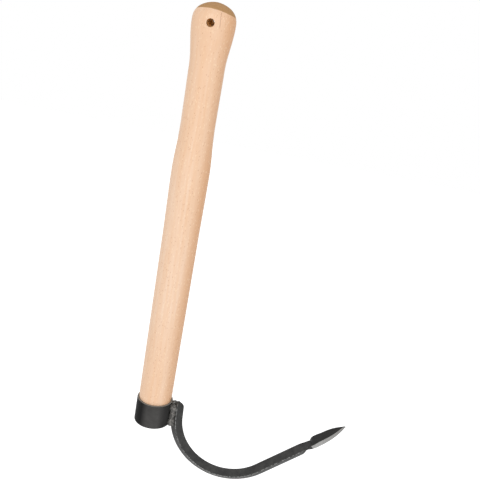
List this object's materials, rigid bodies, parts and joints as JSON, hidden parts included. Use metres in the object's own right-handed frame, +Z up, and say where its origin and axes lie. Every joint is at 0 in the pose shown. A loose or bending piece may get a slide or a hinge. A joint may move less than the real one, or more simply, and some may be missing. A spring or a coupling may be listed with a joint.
{
  "type": "hand cultivator",
  "caption": "Hand cultivator with one hooked square-bar tine ending in a forged leaf point, welded to a steel collar on a turned wooden handle with a hanging hole.",
  "frame": {"origin": "middle of the hanging hole, on the handle's axis", "axes": "+Z up the handle's axis to the crown of the knob; +X towards the hook's point, with the tine's plane in XZ; the tool hangs by its hole"},
  "size_m": [0.2056, 0.0374, 0.4478],
  "materials": {
    "handle_wood": "light beech, smooth, clear satin lacquer",
    "collar_steel": "steel tube in dark satin lacquer",
    "bar_steel": "forged steel in dark satin lacquer, with bright ground bevels on the point",
    "weld_steel": "rippled weld bead in thin dark lacquer",
    "nail_steel": "plain bright steel"
  },
  "bodies": {
    "root": {"handle": "handle_wood", "collar": "collar_steel", "tine": "bar_steel", "weld_near": "weld_steel", "weld_far": "weld_steel", "weld_top": "weld_steel", "nail": "nail_steel"}
  },
  "joints": []
}
